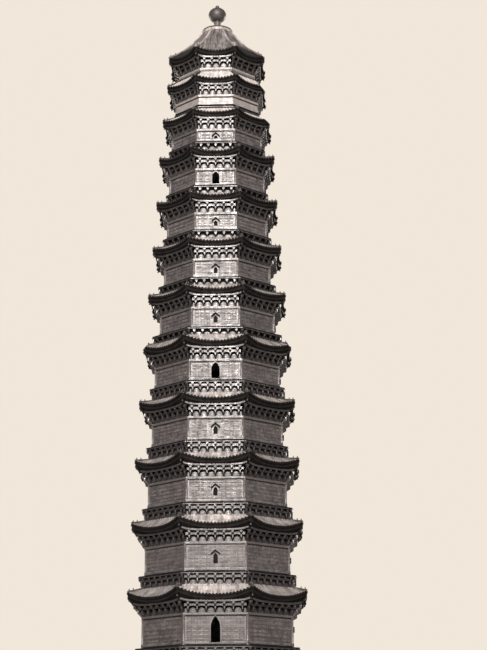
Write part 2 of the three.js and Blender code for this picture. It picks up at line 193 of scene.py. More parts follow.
wall_glaze = masonry("wall_glaze", (0.105, 0.095, 0.088, 1), (0.05, 0.045, 0.042, 1),
                     0.030, 0.0062, 0.0004, 0.32, soot=0.45, glaze=1.85)
bleached_glaze = masonry("bleached_glaze", (0.34, 0.315, 0.295, 1), (0.17, 0.157, 0.147, 1),
                         0.030, 0.0062, 0.0003, 0.34, soot=0.35, glaze=1.8)
refinish(wall_glaze, "storey_1_wall_head", *[f"storey_{n}_wall" for n in range(2, 12)],
         *[name for name in nodes if name.startswith("storey_1_pier")])
refinish(bleached_glaze, "storey_12_wall", "storey_13_wall")


def eightfold(points, turn=0.0):
    """Copies points, given as (out, along, up) from one side, to all eight sides: side k is turned
    by 45 k degrees, so x = out cos t - along sin t and y = out sin t + along cos t."""
    t = np.radians(-90 + turn + 45 * np.arange(8)).reshape((8,) + (1,) * (points.ndim - 1))
    out, along, up = points[..., 0], points[..., 1], points[..., 2]
    x = out * np.cos(t) - along * np.sin(t)
    return np.stack([x, out * np.sin(t) + along * np.cos(t), np.broadcast_to(up, x.shape)], -1)


def outwards(points, *kinds):
    """Turns every kind of face round if the volume that they enclose, summed as the thin wedges
    first . (second x third) from the middle of the points, comes out below nothing."""
    middle = points.mean(0)
    volume = 0.0
    for faces in kinds:
        corners = points[faces] - middle
        for turn in range(1, faces.shape[1] - 1):
            volume += np.sum(corners[:, 0] * np.cross(corners[:, turn], corners[:, turn + 1]))
    return [faces[:, ::-1] if volume < 0 else faces for faces in kinds]


def boxed(corners):
    """The skin of each bent box in corners[..., a, b, c, xyz]: its six sides, each a sheet of quads
    between neighbouring corners."""
    a, b, c = corners.shape[-4:-1]
    number = np.arange(a * b * c).reshape(a, b, c)
    sheets = []
    for sheet, back in ((number[:, :, -1], 0), (number[:, :, 0], 1), (number[-1], 0),
                        (number[0], 1), (number[:, -1].T, 0), (number[:, 0].T, 1)):
        quads = np.stack([sheet[:-1, :-1], sheet[1:, :-1], sheet[1:, 1:], sheet[:-1, 1:]], -1)
        quads = quads.reshape(-1, 4)
        sheets.append(quads[:, ::-1] if back else quads)
    used, quads = np.unique(np.concatenate(sheets), return_inverse=True)
    boxes = corners.reshape(-1, a * b * c, 3)[:, used]
    quads, = outwards(boxes[0], quads.reshape(-1, 4))
    quads = quads + (np.arange(len(boxes)) * len(used))[:, None, None]
    return boxes.reshape(-1, 3), quads.reshape(-1, 4)


def ringed(loops):
    """The skin of a ring round the tower, loops[i, j, xyz]: profile point i at place j round it,
    with the last of both joined to the first."""
    rows, places = loops.shape[:2]
    number = np.arange(rows * places).reshape(rows, places)
    beside, over = np.roll(number, -1, 1), np.roll(number, -1, 0)
    quads = np.stack([number, beside, np.roll(beside, -1, 0), over], -1).reshape(-1, 4)
    points = loops.reshape(-1, 3)
    return points, *outwards(points, quads)


def side_ring(out, up, place):
    """A ring from half widths and heights [i, j] at profile point i and place j along a side."""
    points = np.stack([out, out * place * tangent, up], -1)
    return ringed(np.moveaxis(eightfold(points), 0, 1).reshape(len(out), -1, 3))


def octagon_ring(profile):
    """A level ring of a profile of (half width, height) points, each carried round the octagon."""
    profile = np.asarray(profile, float)
    return side_ring(profile[:, :1], profile[:, 1:], np.array([-1.0]))


def placed(name, data):
    """A new object of the data, linked to the scene."""
    made = bpy.data.objects.new(name, data)
    bpy.context.scene.collection.objects.link(made)
    return made


def make_piece(name, parts, material, smooth=None, replaces=()):
    """Joins parts, each its points in millimetres and its faces, into one piece in metres that
    rides on the tower. smooth is the angle in degrees below which an edge is rounded off."""
    starts = np.cumsum([0] + [len(part[0]) for part in parts])
    faces = []
    for start, part in zip(starts, parts):
        for kind in part[1:]:
            faces += (kind + start).tolist()
    mesh = bpy.data.meshes.new(name)
    points = np.concatenate([part[0] for part in parts]) * 0.001
    mesh.from_pydata(points.tolist(), [], faces)
    mesh.materials.append(material)
    if smooth:
        mesh.polygons.foreach_set("use_smooth", [True] * len(mesh.polygons))
        mesh.set_sharp_from_angle(angle=math.radians(smooth))
    piece = placed(name, mesh)
    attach(piece, "root")
    if replaces:
        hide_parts(*replaces)


def turned(levels, steps):
    """Circles [i, j] of the radii and heights in levels, round the upright axis."""
    turn = np.arange(steps) * 2 * np.pi / steps
    levels = np.asarray(levels, float)
    return np.stack([levels[:, :1] * np.cos(turn), levels[:, :1] * np.sin(turn),
                     np.repeat(levels[:, 1:], steps, 1)], -1)


def shaft(radius, foot, top):
    """A round engaged column: circles of a share of the radius at its foot, base, neck and head."""
    levels = np.array([[1.25, foot], [1.25, foot + 7], [1.0, foot + 11], [0.96, top - 9],
                       [1.22, top - 5], [1.22, top]])
    return turned(levels * [radius, 1], 10)


def closed_drum(rings):
    """Skins circles[..., i, j, xyz] with quads, and closes both ends with a fan of triangles."""
    rows, steps = rings.shape[-3:-1]
    points = rings.reshape(-1, rows * steps, 3)
    ends = np.stack([rings[..., 0, :, :].mean(-2), rings[..., -1, :, :].mean(-2)], -2)
    points = np.concatenate([points, ends.reshape(-1, 2, 3)], 1)
    number = np.arange(rows * steps).reshape(rows, steps)
    beside = np.roll(number, -1, 1)
    quads = np.stack([number[:-1], beside[:-1], beside[1:], number[1:]], -1).reshape(-1, 4)
    low, high = np.full(steps, rows * steps), np.full(steps, rows * steps + 1)
    fans = np.concatenate([np.stack([low, beside[0], number[0]], -1),
                           np.stack([high, number[-1], beside[-1]], -1)])
    many = (np.arange(len(points)) * points.shape[1])[:, None, None]
    flat = points.reshape(-1, 3)
    quads, fans = outwards(points[0], quads, fans)
    return flat, (quads + many).reshape(-1, 4), (fans + many).reshape(-1, 3)


def opening_outline(number, side):
    """Half width, foot and height of the window or blind window on one side, or None."""
    if number not in window_side or side % 2:
        return None
    row = number - 1
    height = head[row] - deck[row] - 24
    width = 28 + 0.067 * wall[row]
    if side == window_side[number]:
        return width / 2, deck[row] + 18, height
    if number in blind_storeys:
        foot = deck[row] + 0.29 * (head[row] - deck[row])
        return width / 4, foot, 0.45 * height
    return None


def relief_plates(number):
    """The square-edged relief plates of one storey: on each side an even grid of cells of about 38
    by 24 mm, and in each a frame 2.8 mm proud round a lower field with a raised boss. Each plate is
    six oblongs, one inside the other: foot, chamfer, both edges of the frame, field and boss. Plates
    that would meet a window or a doorway are left out."""
    row = number - 1
    foot, top = deck[row] + foot_course, head[row] - 4
    length = 2 * wall[row] * tangent - 34
    columns, rows = max(3, round(length / 38)), max(1, round((top - foot) / 24))
    across, up = length / columns, (top - foot) / rows
    inset = np.array([2.0, 2.0, 2.6, 5.6, 6.4, 8.6])
    proud = np.array([-1.5, 1.4, 2.8, 2.8, 0.8, 2.0])
    signs = np.array([[-1, -1], [1, -1], [1, 1], [-1, 1]], float)
    parts = []
    for side in range(8):
        column, course = np.meshgrid(np.arange(columns), np.arange(rows), indexing="ij")
        centre = np.stack([(column + 0.5) * across - length / 2, foot + (course + 0.5) * up], -1)
        centre = centre.reshape(-1, 2)
        arch = opening_outline(number, side)
        if number == 1 and side % 2 == 0:
            arch = (doorway_half + 4.0, deck[0], doorway_height + 8.0)
        if arch:
            half, low, height = arch
            clear = (np.abs(centre[:, 0]) > half + across / 2 + 4) \
                | (centre[:, 1] < low - up / 2 - 3) | (centre[:, 1] > low + height + up / 2 + 12)
            centre = centre[clear]
        half = np.array([across, up]) / 2 - inset[:, None]
        flat = centre[:, None, None, :] + (signs[None] * half[:, None, :])[None]
        out = np.broadcast_to(wall[row] + proud[None, :, None], flat.shape[:-1])
        local = np.stack([out, flat[..., 0], flat[..., 1]], -1)
        points = eightfold(local)[side].reshape(len(centre), -1, 3)
        corner = np.arange(24).reshape(6, 4)
        beside = np.roll(corner, -1, 1)
        quads = np.stack([corner[:-1], beside[:-1], beside[1:], corner[1:]], -1)
        quads = np.concatenate([quads.reshape(-1, 4), [[20, 21, 22, 23]], [[3, 2, 1, 0]]])
        quads, = outwards(points[0], quads)
        many = (np.arange(len(points)) * 24)[:, None, None]
        parts.append((points.reshape(-1, 3), (quads + many).reshape(-1, 4)))
    return parts


def course_bars(face, proud, low, top, gap=None):
    """A course of moulded brick round a storey, one bar to a side with its ends mitred. On the side
    gap[0] it stops gap[1] short of the middle on both sides, and runs on only as a low sill."""
    bars = [(side, -1.0, 1.0, top) for side in range(8) if not gap or side != gap[0]]
    if gap:
        share = gap[1] / (face * tangent)
        bars += [(gap[0], -1.0, -share, top), (gap[0], share, 1.0, top),
                 (gap[0], -share, share, low + 0.3 * (top - low))]
    parts = []
    for side, first, last, high in bars:
        out = np.array([[face - 3.0] * 3, [face + proud, face + proud, face + proud - 2.5]])
        out, place, up = np.broadcast_arrays(out[:, None, :], np.array([first, last])[:, None],
                                             np.array([low, high - 3, high]))
        bar = np.stack([out, out * place * tangent, up], -1)
        parts.append(boxed(eightfold(bar)[side][None]))
    return parts


plate_glaze = masonry("plate_glaze", (0.175, 0.159, 0.15, 1), (0.004, 0.0037, 0.0035, 1),
                      0.038, 0.012, 0.0006, 0.32, soot=0.5, glaze=1.8)
head_lines = []
for number in range(1, 14):
    row = number - 1
    if number not in plain_storeys:
        make_piece(f"storey_{number}_relief_plates", relief_plates(number), plate_glaze)
        rings = shaft(9.0, deck[row], head[row])
        rings[..., 0] += wall[row] / cosine - 4
        make_piece(f"storey_{number}_corner_columns", [closed_drum(eightfold(rings, 22.5))],
                   plate_glaze, smooth=40)
    if number > 1:
        low, face = deck[row], wall[row]
        top = low + min(foot_course, head[row] - low)
        gap = None
        if number in window_side:
            gap = (window_side[number], opening_outline(number, window_side[number])[0] + 4.5)
        courses = course_bars(face, 7.0, low + min(13, 0.3 * (top - low)), top, gap)
        make_piece(f"storey_{number}_foot_course", courses,
                   bleached_glaze if number in plain_storeys else plate_glaze)
        # A thin near-black ring under each wall's head: a painted shadow line under the moulding.
        head_lines.append(octagon_ring([[face - 2, head[row] - 6], [face + 2, head[row] - 6],
                                        [face + 2, head[row] - 1], [face - 2, head[row] - 1]]))

# Windows, blind windows and doorways
# Each opening is a pointed arch framed by a moulded band of brick. Over a blind window sits a
# small gable of dark tile that throws a shadow, and its back is near-black tile as painted shade in
# the niche. The ground doorways have the same pointed band.

# Near-black tile: partly the eaves' dark tile ends and rafters, and partly painted shade where it
# stands for shadow: panels behind the brackets, soffits, niche backs and thin shadow lines.
dark_tile_and_shade = masonry("dark_tile_and_shade", (0.016, 0.0145, 0.0135, 1), (0.008, 0.0072, 0.0068, 1),
                    0.023, 0.03, 0.0003, 0.6, soot=0.3, glaze=1.15)


def arch_line(half, foot, springing, top, count=9):
    """Half of a pointed arch and its mirror, as (along, up): up the jamb, then the curve
    (1 - t)^2 A + 2 t (1 - t) B + t^2 C from the springing A past the shoulder B to the point C."""
    t = np.linspace(0, 1, count)
    shoulder = springing + (top - springing) * 0.55
    along = half * (1 - t) ** 2 + 2 * t * (1 - t) * half * 0.95
    up = springing * (1 - t) ** 2 + 2 * t * (1 - t) * shoulder + top * t ** 2
    right = np.concatenate([[[half, foot]], np.stack([along, up], -1)])
    return np.concatenate([right, right[-2::-1] * [-1, 1]])


def on_the_wall(side, pair, near, far):
    """A flat shape on one side's wall: pairs of its edge points [i, 2, (along, up)], given a
    thickness from near to far out from the axis."""
    flat = np.stack([pair, pair])
    out = np.array([near, far])[:, None, None] * np.ones(flat.shape[1:3])
    return boxed(eightfold(np.concatenate([out[..., None], flat], -1))[side][None])


def arch_band(side, face, half, foot, springing, top, width, proud):
    """A band round a pointed arch: its line, and the same line grown by width, carried out from
    the wall by proud."""
    inner = arch_line(half, foot, springing, top)
    grow = np.array([(half + width) / half, 1.0])
    outer = (inner - [0, foot]) * grow * [1, (top - foot + width * 1.4) / (top - foot)] + [0, foot]
    return on_the_wall(side, np.stack([inner, outer], 1), face - 2, face + proud)


def gable(side, face, half, apex):
    """A chevron of two sloping bars that meet at an apex, as a bar bent once at its middle."""
    line = np.array([[-half, apex - 0.85 * half], [0, apex], [half, apex - 0.85 * half]])
    return on_the_wall(side, np.stack([line - [0, 10], line], 1), face - 2, face + 13)


def blind_back(side, face, half, foot, springing, top):
    """The near-black back of a blind window, painted shade in its niche: its arch, closed down its
    middle and 2 mm thick.
    """
    line = arch_line(half, foot, springing, top)
    right = np.stack([line * [0, 1], line], 1)[:len(line) // 2 + 1]
    return [on_the_wall(side, right * [hand, 1], face - 9.5, face - 7.5) for hand in (1, -1)]


bands, dark_parts = [], []
for number in range(2, 13):
    for side in (0, 2, 4, 6):
        opening = opening_outline(number, side)
        if opening:
            half, foot, height = opening
            face = wall[number - 1]
            arch = (half, foot, foot + 0.62 * height, foot + height)
            bands.append(arch_band(side, face, *arch, 4.0, 3.0))
            if side != window_side[number]:
                dark_parts.append(gable(side, face, 22 + face / 60, foot + height + 21))
                dark_parts += blind_back(side, face, *arch)
for side in (0, 2, 4, 6):
    bands.append(arch_band(side, wall[0], doorway_half, deck[0], deck[0] + doorway_springing,
                           deck[0] + doorway_height, 12, 7.0))
make_piece("opening_bands", bands, plate_glaze)
make_piece("blind_window_gables", dark_parts, dark_tile_and_shade)
make_piece("wall_head_lines", head_lines, dark_tile_and_shade)

# The bracket belts under the eaves and the balconies
# Glazed blocks moulded as timber brackets: half-round panels on the wall, arms that step out
# between them, bow-shaped links across each bay, and blocks that carry the purlin or the ledge.

bracket_glaze = masonry("bracket_glaze", (0.05, 0.045, 0.042, 1), (0.012, 0.011, 0.0105, 1),
                        0.05, 0.013, 0.0003, 0.28, soot=0.5, glaze=1.75)


def set_places(face, count):
    """Where the bracket sets stand along one side, and the length of a bay: count whole bays, and
    about half a bay left at each corner."""
    bay = 2 * face * tangent / (count + 1.1)
    return (np.arange(count + 1) - count / 2) * bay, bay


def stood_at(shape, places):
    """Copies a shape[..., (out, along, up)] to each place along the side."""
    shift = np.zeros((len(places),) + (1,) * (shape.ndim - 1) + (3,))
    shift[..., 1] = np.reshape(places, (-1,) + (1,) * (shape.ndim - 1))
    return shape[None] + shift


def arm(start, reach, low, rise, high, half):
    """A bracket arm from start out to start + reach. Its underside rises from low by rise, as the
    1.4th power of the way out; it is narrow below, full at two thirds up and closes to a nose."""
    way = np.array([0.0, 0.5, 0.85, 1.0])
    under = low + rise * way ** 1.4
    levels = under[:, None] + (high - under[:, None]) * np.array([0.0, 0.62, 1.0])
    width = half * np.array([1, 1, 1, 0.72])[:, None] * np.array([0.5, 1.0, 0.8])
    out, along, up = np.broadcast_arrays((start + reach * way)[:, None, None],
                                         np.array([-1.0, 1.0])[:, None] * width[:, None, :],
                                         levels[:, None, :])
    return np.stack([out, along, up], -1)


def half_round(face, half, low, straight, radius, proud):
    """A half-round panel: straight sides, then an ellipse up + radius sqrt(1 - v^2) over the width
    v from -1 to 1, swelling out from the wall by proud in its middle."""
    v = np.linspace(-1, 1, 7)
    top = low + straight + radius * np.sqrt(np.maximum(0, 1 - v ** 2)) + 0.4
    out = np.stack([np.full(7, face - 2.0), face + proud * (1 - 0.6 * v ** 2)])
    out, along, up = np.broadcast_arrays(out[:, :, None], (half * v)[None, :, None],
                                         np.stack([np.full(7, low), top], -1)[None])
    return np.stack([out, along, up], -1)


def bow_link(start, reach, half, low, high, dip):
    """A link over one bay: a slab whose underside arches up by dip in its middle."""
    v = np.linspace(-1, 1, 7)
    under = low + dip * (1 - v ** 2)
    out, along, up = np.broadcast_arrays(np.array([start, start + reach])[:, None, None],
                                         (half * v)[None, :, None],
                                         np.stack([under, np.full(7, high)], -1)[None])
    return np.stack([out, along, up], -1)


def block(start, reach, low, high, foot_half, top_half):
    """A carrying block that widens upwards from foot_half to top_half."""
    level = np.array([0, 0.45, 1.0])
    width = np.array([foot_half, 0.35 * foot_half + 0.65 * top_half, top_half])
    out, along, up = np.broadcast_arrays(
        np.array([start, start + reach])[:, None, None],
        np.array([-1.0, 1.0])[None, :, None] * width[None, None, :],
        (low + (high - low) * level)[None, None, :])
    return np.stack([out, along, up], -1)


def bracket_belt(face, count, foot, levels, reaches):
    """Every bracket of one belt. levels are heights over the belt's foot: the panels' tops, the
    lower noses' feet, the links' feet and tops, the upper noses' feet and the carried bar's foot;
    reaches are how far the two tiers come out. A belt with one reach has one tier and no link."""
    places, bay = set_places(face, count)
    middles = (places[1:] + places[:-1]) / 2
    ends = np.array([-1, 1]) * (count / 2 + 0.275) * bay
    corner = face / cosine
    panel = levels[0]
    half, end_half = bay / 2 - 5.5, 0.275 * bay - 5.5
    shapes = [(half_round(face, half, foot + 0.5, panel * 0.3, panel * 0.68, 3.4), middles),
              (half_round(face, end_half, foot + 0.5, panel * 0.3, panel * 0.6, 2.6), ends)]
    first = reaches[0]
    if len(reaches) == 1:
        nose, top = foot + levels[1], foot + levels[2]
        shapes += [(arm(face - 2, first - 4, foot + 2, levels[1] - 4, nose + 3, 5.6), places),
                   (block(face + first - 9, 10, nose, top, 3.6, 9.0), places)]
        slant = [arm(corner - 4, first / cosine - 2, foot + 2, levels[1] - 4, nose + 3, 7.0),
                 block(corner + first / cosine - 10, 11, nose, top, 5.0, 11.0)]
    else:
        second = reaches[1]
        nose, low, high, upper, top = [foot + level for level in levels[1:]]
        more, wide = second - first, first / cosine
        shapes += [
            (arm(face - 2, first + 3, foot + 2, levels[1] - 2, low + 2, 6.2), places),
            (bow_link(face - 1, first, half - 1.5, low, high, 5.0), middles),
            (bow_link(face - 1, first, end_half - 1, low, high, 3.5), ends),
            (arm(face + first - 3, more - 3, low + 1, upper - low - 1, upper + 3, 5.0), places),
            (block(face + second - 9, 10, upper, top, 3.6, 9.0), places)]
        slant = [arm(corner - 4, wide + 5, foot + 2, levels[1] - 2, low + 2, 7.5),
                 arm(corner + wide - 4, more / cosine - 1, low + 1, upper - low - 1, upper + 3, 6.5),
                 block(corner + second / cosine - 10, 12, upper, top + 6, 5.0, 12.0)]
    return [boxed(eightfold(stood_at(shape, where))) for shape, where in shapes] \
        + [boxed(eightfold(shape[None], 22.5)) for shape in slant]


# The eaves
# Each eave is a belt of brackets on the wall, the purlin that it carries, square rafter ends, a
# board, and a skirt of half-round glazed tiles with a ridge down each corner to a turned-up tip.

# storey by storey: the height of the bracket belt's foot, how far out its brackets reach, the half
# width that its purlin is set out from, and the height of the tiles' edge in the middle of a side
eave_foot = head + 17
bracket_reach = 0.72 * (eave - 20 - wall)
purlin_line = wall + bracket_reach
tile_edge = eave_foot + 108
roof_row = len(storeys) - 1
# a room's half width as a share of its wall's, and the height of a balcony's bracket belt with two
# tiers and with one
room_share = 0.5
two_tiers, one_tier = 66, 36


def skirt_head(row):
    """Half width and height at which the skirt under a balcony ends."""
    step = 16 if belt[row] > 0 else 12
    half = ledge[row] - 28 if belt[row] >= one_tier else ledge[row]
    return half, deck[row] - step - belt[row]


roof_knots = np.array([[326, 5064], [291, 5106], [258, 5149], [212, 5196], [178, 5236], [150, 5272],
                       [124, 5308], [106, 5332]], float)


def slope(row, share, place):
    """Half width and height of the tiles at a share of the way up from the edge and a place from -1
    to 1 along the side. A line runs from edge to head with a sag of 6 mm, and the corner lifts and
    reaches out as |place|^2.4, fading up the slope. The top roof follows its own curve of knots."""
    corner = np.abs(place) ** 2.4
    edge = tile_edge[row]
    if row < roof_row:
        half, top = skirt_head(row + 1)
        fade = 1 - share
        out = eave[row] - 20 + (half - eave[row] + 20) * share
        up = edge + (top - edge) * share + (4 * corner - 6) * 4 * share * (1 - share)
    else:
        fade = np.clip(1 - share * 2.6, 0, 1) ** 1.3
        run = np.concatenate([[0], np.cumsum(np.hypot(*np.diff(roof_knots, axis=0).T))])
        out = np.interp(share, run / run[-1], roof_knots[:, 0])
        up = np.interp(share, run / run[-1], roof_knots[:, 1])
    return out + 20 * corner * fade, up + rise[row] * corner * fade


def eave_core(row, steps=16):
    """The body of an eave: room, wall panel, soffit over the purlin, the rising underside, the
    board and the slope, all round the tower. The top roof has a narrow hollow in place of a room."""
    place = np.arange(steps) * 2 / steps - 1
    flat = np.zeros(steps)
    room = round(wall[row] * room_share) if row < roof_row else 60
    foot, panel = eave_foot[row], wall[row] + 3
    edge_out, edge_up = slope(row, 0.0, place)
    rows = [(flat + room, flat + foot), (flat + panel, flat + foot),
            (flat + panel, flat + foot + 66), (flat + purlin_line[row] - 6, flat + foot + 66),
            (flat + purlin_line[row] - 6, flat + foot + 76), (edge_out - 8, edge_up - 30),
            (edge_out - 3, edge_up - 30), (edge_out - 2, edge_up - 2)]
    shares = np.linspace(0.04, 1, 5 if row < roof_row else 15)
    rows += [slope(row, share, place) for share in shares]
    top = rows[-1][1]
    rows += [(flat + room, top)]
    return side_ring(np.stack([r[0] for r in rows]), np.stack([r[1] for r in rows]), place)


def pan_tiles(row, steps=16):
    """The pan tiles between the cover tiles: a skin 4 mm thick that follows the slope."""
    place = np.arange(steps) * 2 / steps - 1
    shares = np.linspace(0, 1, 7 if row < roof_row else 16)
    upper = [slope(row, share, place) for share in shares]
    out = np.stack([line[0] for line in upper] + [line[0] for line in upper[::-1]])
    up = np.stack([line[1] + 2 for line in upper] + [line[1] - 2 for line in upper[::-1]])
    return side_ring(out, up, place)


def purlin(row, steps=12):
    """The purlin: a square bar on the brackets that lifts a little towards each corner."""
    place = np.arange(steps) * 2 / steps - 1
    face = purlin_line[row]
    lift = 17 * np.abs(place) ** 5
    foot = eave_foot[row]
    profile = [(-8, 63), (3, 63), (4, 65), (4, 75), (2, 77), (-8, 77)]
    out = np.stack([face + out + lift * 0.5 for out, _ in profile])
    return side_ring(out, np.stack([foot + up + lift for _, up in profile]), place)


def tile_rows(row, spacing=22.0):
    """Half-round cover tiles: at even spacing along a side a channel section runs straight up the
    slope until it meets the head of the skirt or the corner ridge."""
    edge = (eave[row] - 2) * tangent
    count = int(edge * 2 // spacing)
    along = (np.arange(count) - (count - 1) / 2) * spacing
    shares = np.linspace(0, 1, 60)
    half = slope(row, shares, np.zeros(60))[0]
    stop = np.interp((np.abs(along) + 4) / tangent, half[::-1], shares[::-1])
    stop = np.clip(stop, 0.07, 1.0)
    stations = 5 if row < roof_row else 9
    share = stop[:, None] * np.linspace(0, 1, stations)
    place = along[:, None] / (slope(row, share, 0.0)[0] * tangent)
    for _ in range(3):
        place = np.clip(along[:, None] / (slope(row, share, place)[0] * tangent), -1, 1)
    out, up = slope(row, share, place)
    out[:, 0] += 3
    ring = np.array([[-6.6, -3], [-6.6, 1.5], [-4.4, 5.0], [0, 6.8], [4.4, 5.0], [6.6, 1.5],
                     [6.6, -3]])
    shape = np.broadcast_arrays(out[..., None], along[:, None, None] + ring[:, 0],
                                up[..., None] + ring[:, 1])
    return closed_drum(eightfold(np.stack(shape, -1))), along, out[:, 0], up[:, 0]


def tile_ends(along, out, up):
    """A round end on each cover tile, and between two of them a pointed drip tile."""
    turn = np.arange(8) * np.pi / 4 + np.pi / 8
    ring = np.stack([8.2 * np.cos(turn), 8.2 * np.sin(turn) - 1.5], -1)
    depth = np.array([-3.0, 4.0])
    discs = np.stack(np.broadcast_arrays(out[:, None, None] + depth[:, None],
                                         along[:, None, None] + ring[:, 0],
                                         up[:, None, None] + ring[:, 1]), -1)
    middle = (along[1:] + along[:-1]) / 2
    v = np.array([-1.0, 0.0, 1.0])
    low = np.array([-6.0, -15.0, -6.0])
    drip_out = (out[1:] + out[:-1]) / 2
    drip_up = (up[1:] + up[:-1]) / 2
    tilt = (up[1:] - up[:-1]) / 2
    drips = np.stack(np.broadcast_arrays(
        drip_out[:, None, None, None] + np.array([-3.0, 1.0])[:, None, None],
        middle[:, None, None, None] + 8.5 * v[:, None],
        drip_up[:, None, None, None] + (tilt[:, None] * v)[:, None, :, None]
        + np.stack([low, np.full(3, -1.0)], -1)), -1)
    return [closed_drum(eightfold(discs)), boxed(eightfold(drips))]


def rafter_ends(row, spacing=20.0):
    """Square rafter ends side by side under the board, from the purlin out and up to it."""
    start = purlin_line[row]
    edge = (eave[row] - 26) * tangent
    count = int(edge * 2 // spacing)
    along = (np.arange(count) - (count - 1) / 2) * spacing
    place = along / edge
    stop, edge_up = slope(row, 0.0, place)
    stop = stop - 7
    ends = np.stack([np.full(count, start), stop], -1)[:, :, None, None]
    inner = eave_foot[row] + 79 + 12 * np.abs(place) ** 5
    under = np.stack([inner, edge_up - 29], -1)[:, :, None, None]
    shape = np.broadcast_arrays(ends, along[:, None, None, None] + np.array([-4.0, 4.0])[:, None],
                                under + np.array([-5.0, 1.0]))
    return boxed(eightfold(np.stack(shape, -1)))


def corner_ridge(row):
    """The ridge down a corner: a six-sided bar along the corner's line, ending in a tip that curls
    up past the edge, and the beam under it that carries the tip."""
    share = np.linspace(1, 0, 8 if row < roof_row else 16)
    out, up = slope(row, share, np.ones_like(share))
    out, up = np.append(out, out[-1] + [0, 1]), np.append(up, up[-1] + [1, 5])
    size = np.append(np.full(len(share), 1.0), [0.8, 0.45])
    ring = np.array([[-8, -4], [-8, 6], [-4, 12], [4, 12], [8, 6], [8, -4]], float)
    shape = np.broadcast_arrays(out[:, None] / cosine, ring[:, 0] * size[:, None],
                                up[:, None] + ring[:, 1] * size[:, None])
    ridge = closed_drum(eightfold(np.stack(shape, -1), 22.5))
    start = (purlin_line[row] - 12) / cosine
    tip, tip_up = slope(row, 0.0, 1.0)
    way = np.linspace(0, 1, 5)
    beam_out = start + (tip / cosine - 3 - start) * way
    foot = eave_foot[row] + 72
    low = foot + (tip_up - 33 - foot) * way ** 1.25
    beam = np.stack(np.broadcast_arrays(
        beam_out[:, None, None], np.array([-8.0, 8.0])[None, :, None],
        low[:, None, None] + np.array([-10.0, 6.0])), -1)
    return ridge, boxed(eightfold(beam[None], 22.5))


def corner_trim(row):
    """Two small crouching ridge beasts, as plain knobs, on each corner ridge, and a bell that hangs
    from the beam under each tip."""
    beast = turned([[4.5, 8], [5.0, 13], [3.0, 17], [3.6, 20], [1.2, 24]], 6)
    parts = []
    for share in (0.12, 0.4):
        out, up = slope(row, share if row < roof_row else share * 0.4, 1.0)
        parts.append(closed_drum(eightfold((beast + [out / cosine, 0, up])[None], 22.5)))
    bell = turned([[1.2, -10], [1.2, -14], [3.6, -15], [4.6, -20], [6.4, -26], [5.0, -26]], 8)
    out, up = slope(row, 0.0, 1.0)
    bell = bell + [out / cosine - 12, 0, up - 33]
    return parts, closed_drum(eightfold(bell[None], 22.5))


# corners that have lost their tips: the corner as a side and a half, and how far below the edge's
# own height the break meets the corner; inwards the break climbs by break_slope
broken_corners = {6: [(1.5, 26), (6.5, 34)], 11: [(1.5, 45)], 12: [(1.5, 62), (2.5, 40)],
                  13: [(1.5, 2)]}
break_slope = 1.6


def broken_off(number, parts, sunk=9.0):
    """Parts without what is broken off. What lies past a break, n . p > d with the normal n up and
    out, is moved back along n to a depth sunk below it, give or take a few ragged millimetres, and
    a shape that has lost more than half of its points is dropped. A shape's points are found by
    handing the lowest number among each face's points to all of them until nothing changes."""
    row = number - 1
    for corner, drop in broken_corners.get(number, []):
        turn = math.radians(45 * corner - 90)
        normal = np.array([break_slope * math.cos(turn), break_slope * math.sin(turn), 1.0])
        normal /= np.linalg.norm(normal)
        tip = eave[row] / cosine
        edge = tile_edge[row] + rise[row] - drop
        limit = normal @ [tip * math.cos(turn), tip * math.sin(turn), edge]
        kept = []
        for points, *kinds in parts:
            ragged = 2.5 * np.sin(points @ [0.9, 0.7, 0.4]) + 1.5 * np.sin(points @ [0.3, -1.7, 0.8])
            past = points @ normal - limit + 1.0 + ragged
            if past.max() > 0:
                label, before = np.arange(len(points)), None
                while before is None or np.any(label != before):
                    before = label.copy()
                    for faces in kinds:
                        np.minimum.at(label, faces, label[faces].min(1)[:, None])
                lost = np.bincount(label, past > 0) > 0.5 * np.bincount(label)
                kinds = [faces[~lost[label[faces[:, 0]]]] for faces in kinds]
                points = points - np.where(past > 0, past + sunk, 0)[:, None] * normal
                stays = ~lost[label]
                points = points[stays]
                kinds = [(np.cumsum(stays) - 1)[faces] for faces in kinds]
            kept.append((points, *kinds))
        parts = kept
    return parts


# On the skirts the front side is paler than the others: painted light on the lit front side.
roof_tile = masonry("roof_tile", (0.74, 0.695, 0.655, 1), (0.10, 0.093, 0.088, 1),
                    0.022, 0.03, 0.0004, 0.72, soot=0.5, glaze=1.2, front_lit=0.62)
bleached_tile = masonry("bleached_tile", (0.80, 0.755, 0.71, 1), (0.34, 0.32, 0.30, 1),
                        0.022, 0.03, 0.0003, 0.7, soot=0.4, glaze=1.2, front_lit=0.5)
ridge_tile = masonry("ridge_tile", (0.09, 0.081, 0.075, 1), (0.03, 0.027, 0.026, 1),
                     0.03, 0.03, 0.0004, 0.4, soot=0.6, glaze=1.4)
